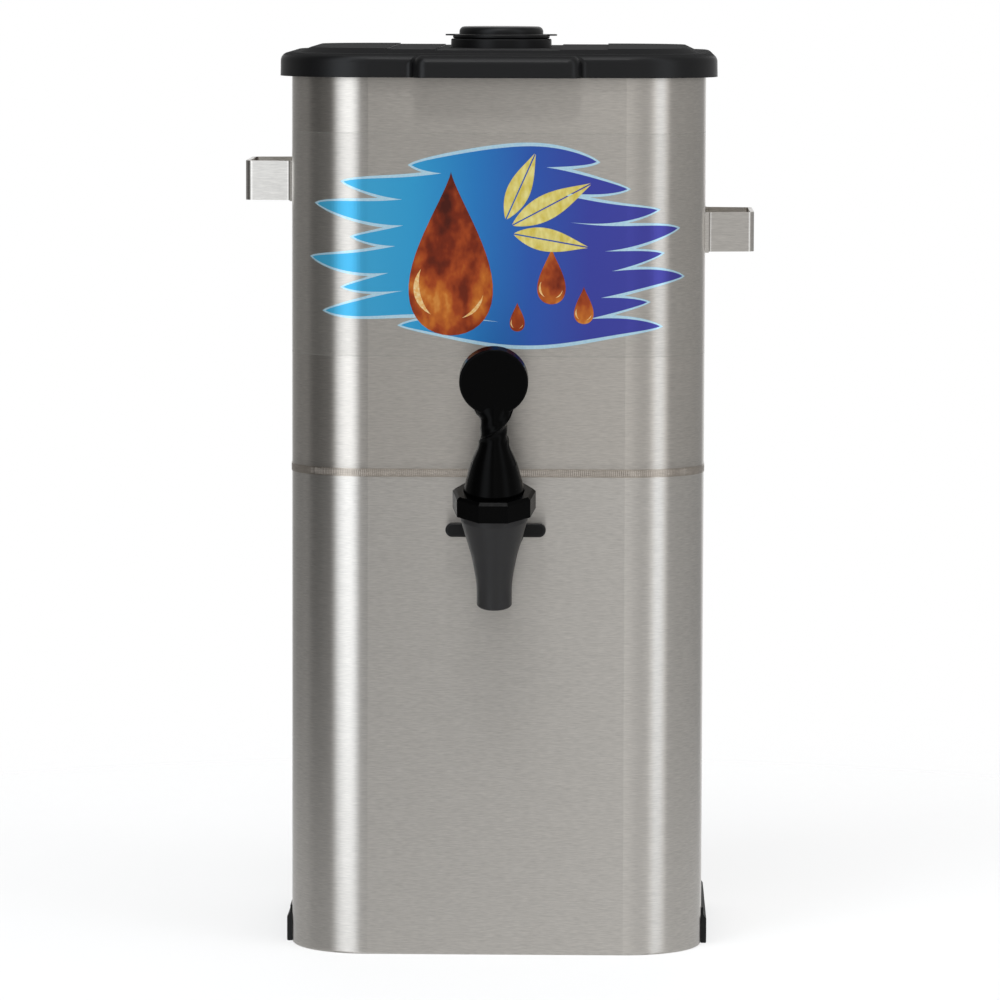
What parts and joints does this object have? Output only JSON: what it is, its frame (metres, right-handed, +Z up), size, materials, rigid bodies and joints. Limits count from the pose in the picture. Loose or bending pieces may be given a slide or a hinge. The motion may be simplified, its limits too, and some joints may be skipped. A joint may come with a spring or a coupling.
{
  "type": "iced tea dispenser",
  "caption": "Tall brushed steel dispenser for iced tea with a loose lid, a plugged brewing hole, side handles and a lever tap that closes by itself.",
  "frame": {"origin": "middle of the body's footprint, on the surface it stands on", "axes": "+Z up, -Y to the front where the tap is, +X to the viewer's right"},
  "size_m": [0.3046, 0.3407, 0.5464],
  "materials": {
    "brushed_body": "brushed along the width",
    "seam_weld": "planished weld with heat tint",
    "floor_steel": "mill finish",
    "handle_steel": "brushed along the strap",
    "label_film": "clear film printed with colour bands",
    "strip_rubber": "extruded",
    "lid_plastic": "fine moulded texture",
    "plug_rubber": "satin moulded",
    "tap_black": "polished moulding",
    "valve_plastic": "satin moulding",
    "wing_nut_plastic": "satin moulding",
    "shank_steel": "turned",
    "gasket_rubber": "moulded",
    "silicone": "moulded silicone",
    "stem_plastic": "acetal moulding",
    "spring_steel": "drawn wire"
  },
  "bodies": {
    "tank": {"lower_base_shell": "brushed_body", "upper_tank_shell": "brushed_body", "weld_seam": "seam_weld", "tank_floor": "floor_steel", "label_sheet": "label_film", "left_handle": "handle_steel", "right_handle": "handle_steel", "left_edge_strip": "strip_rubber", "right_edge_strip": "strip_rubber", "shank_outer_gasket": "gasket_rubber", "shank_inner_gasket": "gasket_rubber", "tap_shank": "shank_steel", "shank_lock_nut": "shank_steel", "wing_nut": "wing_nut_plastic", "inlet_o_ring": "silicone", "valve_body": "valve_plastic", "bonnet": "tap_black", "stem_spring": "spring_steel"},
    "stem": {"valve_stem": "stem_plastic", "seat_cup": "silicone"},
    "lever": {"tap_lever": "tap_black", "lever_pin": "shank_steel"},
    "lid": {"lid": "lid_plastic"},
    "plug": {"brew_plug": "plug_rubber"}
  },
  "joints": [
    {"name": "stem_lift", "type": "slide", "parent": "tank", "child": "stem", "axis": [0, -0.2419, 0.9703], "range_m": [0, 0.0052], "deforming": ["stem_spring"]},
    {"name": "lever_tilt", "type": "hinge", "parent": "stem", "child": "lever", "pos_m": [0, -0.18126, 0.28341], "axis": [1, 0, 0], "range_deg": [0, 25], "stiffness_Nm_per_rad": 0.3, "springref_deg": -17.19},
    {"name": "lid_lift", "type": "slide", "parent": "tank", "child": "lid", "axis": [0, 0, 1], "range_m": [0, 0.2]},
    {"name": "plug_lift", "type": "slide", "parent": "lid", "child": "plug", "axis": [0, 0, 1], "range_m": [0, 0.05]}
  ],
  "couplings": [
    {"joint": "stem_lift", "follows": "lever_tilt", "m_per_rad": 0.0117}
  ]
}
